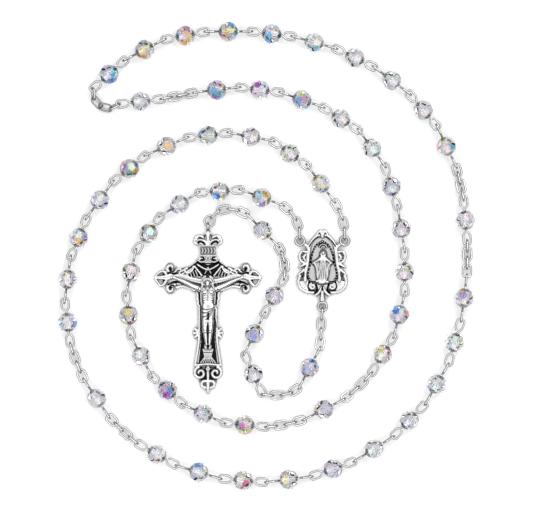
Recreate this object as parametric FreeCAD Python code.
import FreeCAD, Part
import math
import os

# A five-decade rosary, laid out on a table as a doubled strand wound into a spiral.
# Millimetres, +Z up. The table is z = 0, and the origin is the middle of the centre medal's flat back.
# Every piece of wire is placed between two contacts: the points where it hooks its neighbours.

Vector = FreeCAD.Vector

# wire: chain links and the eye pins that carry the beads
WIRE = 0.7
GAP = 0.08
LAP = WIRE + GAP
LINK_PITCH = 3.0
EASY_LINK_PITCH = 2.6
LINK_WIDTH = 3.1
LINKS_PER_CHAIN = 4
LINK_CORNER = 0.95
EYE_WIDTH = 3.0
EYE_TIP = 0.5
EYE_NECK = 3.15
EYE_WAIST = 1.3
RING_RADIUS = 1.6
LINK_SPAN = LINK_PITCH + LAP
CLOSING_TWIST = 360.0 / (LINKS_PER_CHAIN + 1)

# beads: a pin's pitch is with the strand pulled tight, and the other two are with the eyes lying loose
PIN_PITCH = 13.7
EASY_PIN_PITCH = 13.03
BENT_PIN_PITCH = 13.3
LOOSE_PIN_PITCH = 12.4
PIN_SPAN = PIN_PITCH + LAP
FACET_RADIUS = 2.75
BEAD_LENGTH = 5.7
BEAD_BORE = 1.0
FACETS_ROUND = 8
FACET_ROWS = ((20.0, 0.0), (-20.0, 0.5), (54.0, 0.5), (-54.0, 0.0))
BEAD_TURN = 137.5
BEADS_PER_HALF = 5

# heights above the table
BEAD_AXIS_Z = 3.05
EAR_Z = 1.65
CHAIN_SAG = 1.3

# centre medal
MEDAL_THICK = 1.6
MEDAL_RIM_THICK = 2.3
EAR_WIRE = 0.9
EAR_RADIUS = 1.3
EAR_SPREAD = 6.7
EAR_RISE = 7.3
LOWER_EAR_DROP = 12.4

# crucifix
CROSS_THICK = 1.8
LOOP_RADIUS = 1.1
LOOP_WIRE = 0.8
LOOP_Z = 1.65
LOOP_TOP = 15.9
LOOP_LAP = 0.47

# Hand-chosen points that the strands lie along on the table.
# The first strand runs from the medal's left ear through decades 1 and 2.
FIRST_ROUTE = [
    (-6.7, 8.05), (-8.6, 14.8), (-18.5, 21.0), (-32.0, 22.9), (-53.0, 9.5), (-58.8, -9.0),
    (-55.0, -27.2), (-36.0, -44.9), (-22.5, -48.4), (2.0, -42.9), (19.6, -25.0), (24.8, -7.0),
    (23.4, 13.0), (15.0, 36.0), (-6.5, 50.0), (-25.0, 53.3), (-42.0, 51.0), (-64.0, 48.2),
]
# The second runs from the right ear through decades 5, 4 and 3.
SECOND_ROUTE = [
    (6.7, 8.05), (6.0, 14.0), (-0.2, 24.3), (-9.2, 34.2), (-20.5, 38.8), (-33.5, 39.5),
    (-57.2, 30.0), (-73.1, 9.0), (-77.2, -10.0), (-68.4, -39.5), (-49.5, -57.2), (-30.0, -64.0),
    (-10.0, -64.5), (16.8, -54.6), (35.0, -35.2), (42.6, -10.0), (43.0, 13.5), (37.5, 36.0),
    (21.5, 55.2), (-1.0, 66.6), (-26.0, 70.2), (-51.5, 66.0), (-62.0, 59.3), (-70.0, 51.5),
]
# The pendant runs from the lower ear to the crucifix.
PENDANT_ROUTE = [
    (0.0, -13.15), (-0.4, -20.0), (-1.0, -25.5), (-4.0, -32.0), (-8.0, -37.5), (-14.0, -39.0),
    (-19.4, -38.0), (-22.6, -33.0), (-23.4, -26.8), (-21.6, -21.0), (-14.8, -11.0), (-11.3, -3.0),
    (-12.4, 4.2), (-17.3, 10.4), (-22.0, 14.8), (-26.8, 16.8), (-31.6, 16.0), (-34.3, 12.2),
    (-34.4, 6.0),
]

ALONG = Vector(1, 0, 0)
UP = Vector(0, 0, 1)


def unit(vector):
    result = Vector(vector)
    return result.normalize()


def rod(start, end, radius):
    direction = end - start
    return Part.makeCylinder(radius, direction.Length, start, direction)


def cone(start, end, start_radius, end_radius):
    direction = end - start
    return Part.makeCone(start_radius, end_radius, direction.Length, start, direction)


def ball(centre, radius):
    return Part.makeSphere(radius, centre)


def bend(centre, radius, first, last):
    """Part of a torus of wire in the XY plane, from one angle to another in degrees."""
    at = Vector(math.cos(math.radians(first)), math.sin(math.radians(first)), 0)
    section = Part.makeCircle(WIRE / 2, centre + at * radius, UP.cross(at))
    disc = Part.Face(Part.Wire(section))
    return disc.revolve(centre, UP, last - first)


def fuse(solids):
    return solids[0].multiFuse(solids[1:]).removeSplitter().Solids[0]


def mirrored(shape, normal):
    return shape.mirror(Vector(0, 0, 0), normal)


def link_shape():
    """One link, a rounded rectangle of wire along X, flat in XY."""
    half_length = LINK_SPAN / 2
    half_width = (LINK_WIDTH - WIRE) / 2
    x = half_length - LINK_CORNER
    y = half_width - LINK_CORNER
    pieces = [
        rod(Vector(-x, half_width, 0), Vector(x, half_width, 0), WIRE / 2),
        rod(Vector(-x, -half_width, 0), Vector(x, -half_width, 0), WIRE / 2),
        rod(Vector(half_length, -y, 0), Vector(half_length, y, 0), WIRE / 2),
        rod(Vector(-half_length, -y, 0), Vector(-half_length, y, 0), WIRE / 2),
        bend(Vector(x, y, 0), LINK_CORNER, 0, 90),
        bend(Vector(-x, y, 0), LINK_CORNER, 90, 180),
        bend(Vector(-x, -y, 0), LINK_CORNER, 180, 270),
        bend(Vector(x, -y, 0), LINK_CORNER, 270, 360),
    ]
    return fuse(pieces)


def eye_pieces():
    """The drop-shaped eye at the +X end of a pin, flat in XY, its neck against the bead."""
    tip = PIN_SPAN / 2
    half_width = (EYE_WIDTH - WIRE) / 2
    radius = half_width - EYE_TIP / 2
    x = tip - radius
    neck = Vector(EYE_NECK, 0, 0)
    shoulder = Vector(x, half_width, 0)
    waist = Vector(EYE_NECK + EYE_WAIST, half_width - 0.12, 0)
    upper = [
        rod(neck, waist, WIRE / 2),
        ball(waist, WIRE / 2),
        rod(waist, shoulder, WIRE / 2),
        ball(shoulder, WIRE / 2),
        bend(Vector(x, EYE_TIP / 2, 0), radius, 0, 90),
    ]
    lower = [mirrored(piece, Vector(0, 1, 0)) for piece in upper]
    crown = rod(Vector(tip, -EYE_TIP / 2, 0), Vector(tip, EYE_TIP / 2, 0), WIRE / 2)
    return upper + lower + [crown, ball(neck, WIRE / 2)]


def pin_shape():
    """One eye pin along X, with an eye at each end, both flat in XY."""
    right = eye_pieces()
    left = [mirrored(piece, Vector(1, 0, 0)) for piece in right]
    shank = rod(Vector(-EYE_NECK, 0, 0), Vector(EYE_NECK, 0, 0), WIRE / 2)
    return fuse([shank] + right + left)


def bead_shape():
    """One crystal bead along X: four rows of facets that touch a sphere, flat ends, and a bore."""
    size = 4 * FACET_RADIUS
    middle = Vector(-BEAD_LENGTH / 2, -size / 2, -size / 2)
    bead = Part.makeBox(BEAD_LENGTH, size, size, middle)
    for latitude, offset in FACET_ROWS:
        for k in range(FACETS_ROUND):
            turn = 2 * math.pi * (k + offset) / FACETS_ROUND
            tilt = math.radians(latitude)
            outwards = Vector(math.sin(tilt), math.cos(tilt) * math.cos(turn), math.cos(tilt) * math.sin(turn))
            beyond = Part.makeBox(size, size, size, Vector(-size / 2, -size / 2, 0))
            beyond.Placement = FreeCAD.Placement(outwards * FACET_RADIUS, FreeCAD.Rotation(UP, outwards))
            bead = bead.cut(beyond)
    bore = Part.makeCylinder(BEAD_BORE / 2, size, Vector(-size / 2, 0, 0), ALONG)
    return bead.cut(bore).Solids[0]


def ring_shape():
    """The round jump ring that the crucifix hangs from, flat in XY."""
    return Part.makeTorus(RING_RADIUS, WIRE / 2).Solids[0]


def placed(shape, start, end, edgewise, roll=0.0):
    """A copy of a shape that lies along X, put between two contacts, flat or on edge, then rolled."""
    along = unit(end - start)
    side = unit(UP.cross(along))
    if edgewise:
        side = unit(along.cross(side))
    over = along.cross(side)
    middle = (start + end) * 0.5
    matrix = FreeCAD.Matrix(
        along.x, side.x, over.x, middle.x,
        along.y, side.y, over.y, middle.y,
        along.z, side.z, over.z, middle.z,
        0, 0, 0, 1,
    )
    result = shape.copy()
    turned = FreeCAD.Placement(Vector(0, 0, 0), FreeCAD.Rotation(ALONG, roll))
    result.Placement = FreeCAD.Placement(matrix).multiply(turned)
    return result


def curve_through(route):
    curve = Part.BSplineCurve()
    curve.interpolate([Vector(x, y, 0) for x, y in route])
    return curve


def next_parameter(curve, parameter, distance):
    """Where the curve is first at this straight distance from its point at the parameter."""
    here = curve.value(parameter)
    step = (curve.LastParameter - curve.FirstParameter) / 4000
    low = parameter
    while (curve.value(low + step) - here).Length < distance:
        low += step
        if low + step > curve.LastParameter:
            raise ValueError("the route is too short for its beads")
    high = low + step
    for _ in range(40):
        middle = (low + high) / 2
        if (curve.value(middle) - here).Length < distance:
            low = middle
        else:
            high = middle
    return low


def walk(route, pieces):
    """The contacts between a strand's pieces. A piece is (kind, chord, height of its far contact)."""
    curve = curve_through(route)
    parameter = curve.FirstParameter
    start = curve.value(parameter)
    contacts = [Vector(start.x, start.y, EAR_Z)]
    for _, chord, height in pieces:
        drop = height - contacts[-1].z
        parameter = next_parameter(curve, parameter, math.sqrt(chord**2 - drop**2))
        at = curve.value(parameter)
        contacts.append(Vector(at.x, at.y, height))
    return contacts


def chain_heights(start, end):
    """Heights of a chain's contacts after its first: it sags between beads, or climbs from the table."""
    heights = []
    for i in range(1, LINKS_PER_CHAIN + 1):
        share = i / LINKS_PER_CHAIN
        if start == end:
            heights.append(start - CHAIN_SAG * math.sin(math.pi * share))
        elif start < end:
            heights.append(start + (end - start) * share**2)
        else:
            heights.append(end + (start - end) * (1 - share) ** 2)
    return heights


def chain(pitch=LINK_PITCH, start=BEAD_AXIS_Z, end=BEAD_AXIS_Z):
    return [("link", pitch, height) for height in chain_heights(start, end)]


def beads(count, pitch=EASY_PIN_PITCH):
    return [("bead", pitch, BEAD_AXIS_Z)] * count


def closing_contacts(start, end, count, chord):
    """Contacts of a chain that bows out in a round arc, to the right of its way from start to end."""
    span = (end - start).Length
    low = 1e-3
    high = math.pi / count
    for _ in range(60):
        half_turn = (low + high) / 2
        reach = chord * math.sin(count * half_turn) / math.sin(half_turn)
        if reach > span:
            low = half_turn
        else:
            high = half_turn
    forward = unit(end - start)
    outwards = forward.cross(UP)
    contacts = [start]
    for i in range(1, count):
        heading = (count - 2 * i + 1) * half_turn
        step = forward * math.cos(heading) + outwards * math.sin(heading)
        contacts.append(contacts[-1] + step * chord)
    heights = [start.z] + chain_heights(start.z, end.z)
    return [Vector(at.x, at.y, z) for at, z in zip(contacts + [end], heights)]


def decade(pitch=EASY_PIN_PITCH):
    return beads(2 * BEADS_PER_HALF, pitch)


FIRST_PIECES = (
    chain(start=EAR_Z) + decade() + chain() + beads(1)
    + chain() + decade() + chain(EASY_LINK_PITCH) + beads(1)
)
SECOND_PIECES = (
    chain(start=EAR_Z) + decade() + chain() + beads(1)
    + chain() + decade(PIN_PITCH) + chain(EASY_LINK_PITCH) + beads(1)
    + chain(EASY_LINK_PITCH) + decade()
)
PENDANT_PIECES = (
    chain(start=EAR_Z) + beads(1) + chain()
    + beads(2, BENT_PIN_PITCH) + beads(1, LOOSE_PIN_PITCH)
    + chain(EASY_LINK_PITCH) + beads(1) + chain(end=LOOP_Z)
    + [("ring", 2 * RING_RADIUS - LAP, LOOP_Z)]
)

# The nodes of each strand in order from the medal: (name, number of pieces in it).
FIRST_NODES = [
    ("left_medal_chain", 4), ("decade_1_first", 5), ("decade_1_last", 5), ("chain_after_decade_1", 4),
    ("our_father_1", 1), ("chain_before_decade_2", 4), ("decade_2_first", 5), ("decade_2_last", 5),
    ("chain_after_decade_2", 4), ("our_father_2", 1),
]
SECOND_NODES = [
    ("right_medal_chain", 4), ("decade_5_last", 5), ("decade_5_first", 5), ("chain_before_decade_5", 4),
    ("our_father_4", 1), ("chain_after_decade_4", 4), ("decade_4_last", 5), ("decade_4_first", 5),
    ("chain_before_decade_4", 4), ("our_father_3", 1), ("chain_after_decade_3", 4), ("decade_3_last", 5),
    ("decade_3_first", 5),
]
PENDANT_NODES = [
    ("pendant_chain_1_upper", 2), ("pendant_chain_1_lower", 2), ("pendant_our_father_1", 1),
    ("pendant_chain_2_upper", 2), ("pendant_chain_2_lower", 2), ("pendant_hail_mary_1", 1),
    ("pendant_hail_mary_2", 1), ("pendant_hail_mary_3", 1), ("pendant_chain_3_upper", 2),
    ("pendant_chain_3_lower", 2), ("pendant_our_father_2", 1), ("pendant_chain_4_upper", 2),
    ("pendant_chain_4_lower", 2), ("crucifix_jump_ring", 1),
]


def strand_nodes(nodes, pieces, contacts, first_edgewise, shapes):
    """The strand's solids by node. Bead nodes get one node of beads and one of their pins."""
    made = {}
    at = 0
    for name, count in nodes:
        for _ in range(count):
            kind = pieces[at][0]
            start = contacts[at]
            end = contacts[at + 1]
            edgewise = (at % 2 == 0) == first_edgewise
            if kind == "bead":
                plural = "s" if count > 1 else ""
                pin = placed(shapes["pin"], start, end, edgewise)
                bead = placed(shapes["bead"], start, end, False, BEAD_TURN * at)
                made.setdefault(name + "_pin" + plural, []).append(pin)
                made.setdefault(name + "_bead" + plural, []).append(bead)
            else:
                made.setdefault(name, []).append(placed(shapes[kind], start, end, edgewise))
            at += 1
    return made


def plate(points, thick, lift=0.0):
    """An upright prism on a polygon of (x, y) points."""
    corners = [Vector(x, y, lift) for x, y in points]
    face = Part.Face(Part.makePolygon(corners + corners[:1]))
    return face.extrude(Vector(0, 0, thick))


def disc(x, y, radius, thick, lift=0.0):
    return Part.makeCylinder(radius, thick, Vector(x, y, lift))


def both_sides(x, y, radius, thick, lift=0.0):
    return [disc(x, y, radius, thick, lift), disc(-x, y, radius, thick, lift)]


def symmetric(half, thick, lift=0.0):
    """A prism on an outline given by its right half, from top to bottom."""
    return plate(half + [(-x, y) for x, y in reversed(half) if x > 0], thick, lift)


def flat_ring(x, y):
    ear = Part.makeTorus(EAR_RADIUS, EAR_WIRE / 2)
    ear.translate(Vector(x, y, EAR_Z))
    return ear


def medal_shape():
    """The centre medal: a pear-shaped plate with a rim, side scrolls, a robed figure and three ears."""
    pear = [(0, 10.3), (1.6, 9.4), (3.4, 7.4), (4.5, 5.0), (5.0, 1.0), (5.9, -3.0), (5.2, -6.6), (2.2, -8.6), (0, -9.4)]
    inner = [(x * 0.8, y * 0.84 - 0.3) for x, y in pear]
    rim = symmetric(pear, MEDAL_RIM_THICK).cut(symmetric(inner, MEDAL_RIM_THICK, MEDAL_THICK * 0.7))
    solids = [rim]
    solids += both_sides(5.6, 2.4, 1.6, MEDAL_THICK)
    solids += both_sides(5.7, -0.9, 1.5, MEDAL_THICK)
    solids += both_sides(5.2, -5.5, 2.6, MEDAL_THICK)
    solids += [symmetric([(0, -8.0), (2.2, -8.6), (0.9, -10.2), (0, -11.4)], MEDAL_THICK)]
    figure_base = Vector(0.2, -4.2, MEDAL_THICK * 0.7)
    figure_top = Vector(0.2, 2.4, MEDAL_THICK * 0.7)
    robe = cone(figure_base, figure_top, 1.7, 1.1)
    head = ball(Vector(0.3, 3.7, MEDAL_THICK * 0.7 + 0.4), 0.75)
    neck = rod(figure_top, Vector(0.3, 3.4, MEDAL_THICK * 0.7), 0.5)
    arms = [
        cone(Vector(0.2, 1.9, MEDAL_THICK * 0.7), Vector(side * 2.8, 0.6, MEDAL_THICK * 0.7), 0.8, 0.45)
        for side in (-1, 1)
    ]
    floor_cut = Part.makeBox(20, 30, 5, Vector(-10, -15, MEDAL_THICK * 0.7 - 0.1 - 5))
    figure = fuse([robe, head, neck] + arms).cut(floor_cut)
    ears = [flat_ring(-EAR_SPREAD, EAR_RISE), flat_ring(EAR_SPREAD, EAR_RISE), flat_ring(0, -LOWER_EAR_DROP)]
    necks = [
        rod(Vector(side * (EAR_SPREAD - 1.0), EAR_RISE - 0.9, EAR_Z), Vector(side * 4.0, 5.0, EAR_Z), 0.5)
        for side in (-1, 1)
    ]
    return fuse(solids + [figure] + ears + necks)


def cross_shape():
    """The cross about the crossing of its arms, with its loop on edge at the top."""
    shaft = [(0, 13.4), (1.0, 13.0), (2.2, 12.4), (2.8, 9.6), (2.8, -19.0), (4.1, -25.4), (4.1, -27.0), (0, -32.0)]
    solids = [symmetric(shaft, CROSS_THICK)]
    solids += [plate([(-14, 1.9), (14, 1.9), (14, -2.1), (-14, -2.1)], CROSS_THICK)]
    solids += [disc(0, -0.2, 5.7, CROSS_THICK)]
    solids += [symmetric([(0, 6.2), (3.5, 5.2), (5.6, 3.1), (8.6, 2.6), (8.6, 0), (0, 0)], CROSS_THICK)]
    for v in (2.8, -3.1):
        solids += both_sides(11.1, v, 1.8, CROSS_THICK)
    for side in (-1, 1):
        leaf = [(side * 12.4, 1.6), (side * 13.8, 2.4), (side * 16.4, 0.1), (side * 14.4, -2.8), (side * 12.4, -1.8)]
        solids += [plate(leaf, CROSS_THICK)]
    solids += both_sides(2.6, 11.0, 1.9, CROSS_THICK)
    solids += both_sides(3.0, -16.7, 1.35, CROSS_THICK)
    solids += both_sides(2.6, -29.0, 2.2, CROSS_THICK)
    solids += [symmetric([(0, -30.0), (2.3, -31.6), (2.2, -33.2), (0, -35.1)], CROSS_THICK)]
    solids += [plate([(-2.6, 6.0), (2.6, 6.0), (2.6, 9.4), (-2.6, 9.4)], CROSS_THICK + 0.4)]
    loop = Part.makeTorus(LOOP_RADIUS, LOOP_WIRE / 2, Vector(0, 0, 0), ALONG)
    loop.translate(Vector(0, LOOP_TOP - LOOP_RADIUS, LOOP_Z))
    root = rod(Vector(0, LOOP_TOP - 2 * LOOP_RADIUS, 0.9), Vector(0, 12.5, 0.9), 0.8)
    return fuse(solids + [loop, root])


def corpus_shape():
    """The figure on the cross, one casting with the block under its feet, flat where it meets the cross."""
    z = CROSS_THICK
    solids = [
        cone(Vector(0, -8.5, z), Vector(0, -3.2, z + 0.2), 1.7, 2.2),
        ball(Vector(0, -3.2, z + 0.2), 2.2),
        cone(Vector(0, -13.0, z), Vector(0, -8.4, z), 2.0, 1.9),
        ball(Vector(-0.1, -1.3, z + 1.3), 1.35),
        cone(Vector(-0.7, -19.0, z + 0.6), Vector(-0.9, -12.0, z + 0.5), 0.9, 1.2),
        cone(Vector(0.7, -19.0, z + 0.6), Vector(0.9, -12.0, z + 0.5), 0.9, 1.2),
        cone(Vector(0, -21.8, z + 0.2), Vector(0, -16.5, z + 0.5), 1.2, 1.5),
        plate([(-1.6, -21.4), (1.6, -21.4), (1.1, -23.7), (-1.1, -23.7)], 1.0, z),
    ]
    for side in (-1, 1):
        elbow = Vector(side * 6.0, -1.6, z + 0.4)
        solids += [
            cone(Vector(side * 1.6, -3.3, z + 0.6), elbow, 1.1, 0.75),
            ball(elbow, 0.75),
            cone(elbow, Vector(side * 10.2, 0.1, z + 0.2), 0.75, 0.55),
            ball(Vector(side * 10.2, 0.1, z + 0.2), 0.7),
        ]
    below = Part.makeBox(40, 60, 10, Vector(-20, -40, z - 10))
    return fuse(solids).cut(below).Solids[0]


def build():
    """Every solid by node, and every strand's contacts by name."""
    shapes = {"link": link_shape(), "pin": pin_shape(), "bead": bead_shape(), "ring": ring_shape()}
    contacts = {
        "first": walk(FIRST_ROUTE, FIRST_PIECES),
        "second": walk(SECOND_ROUTE, SECOND_PIECES),
        "pendant": walk(PENDANT_ROUTE, PENDANT_PIECES),
    }
    ends = contacts["second"][-1], contacts["first"][-1]
    contacts["closing"] = closing_contacts(*ends, LINKS_PER_CHAIN, LINK_PITCH)
    solids = {"centre_medal": [medal_shape()]}
    solids.update(strand_nodes(FIRST_NODES, FIRST_PIECES, contacts["first"], True, shapes))
    solids.update(strand_nodes(SECOND_NODES, SECOND_PIECES, contacts["second"], True, shapes))
    solids["chain_before_decade_3"] = [
        placed(shapes["link"], start, end, False, CLOSING_TWIST * (i + 1))
        for i, (start, end) in enumerate(zip(contacts["closing"], contacts["closing"][1:]))
    ]
    solids.update(strand_nodes(PENDANT_NODES, PENDANT_PIECES, contacts["pendant"], True, shapes))
    hook = contacts["pendant"][-1] + Vector(0, LOOP_LAP - LOOP_TOP, 0)
    crossing = Vector(hook.x, hook.y, 0)
    for name, shape in (("crucifix_cross", cross_shape()), ("crucifix_corpus", corpus_shape())):
        shape.translate(crossing)
        solids[name] = [shape]
    return solids, contacts, crossing


SOLIDS, CONTACTS, CROSSING = build()
os.makedirs("parts", exist_ok=True)
for node, node_solids in SOLIDS.items():
    whole = node_solids[0] if len(node_solids) == 1 else Part.makeCompound(node_solids)
    whole.exportStep(os.path.join("parts", node + ".step"))
print(len(SOLIDS), "nodes,", sum(len(s) for s in SOLIDS.values()), "solids")
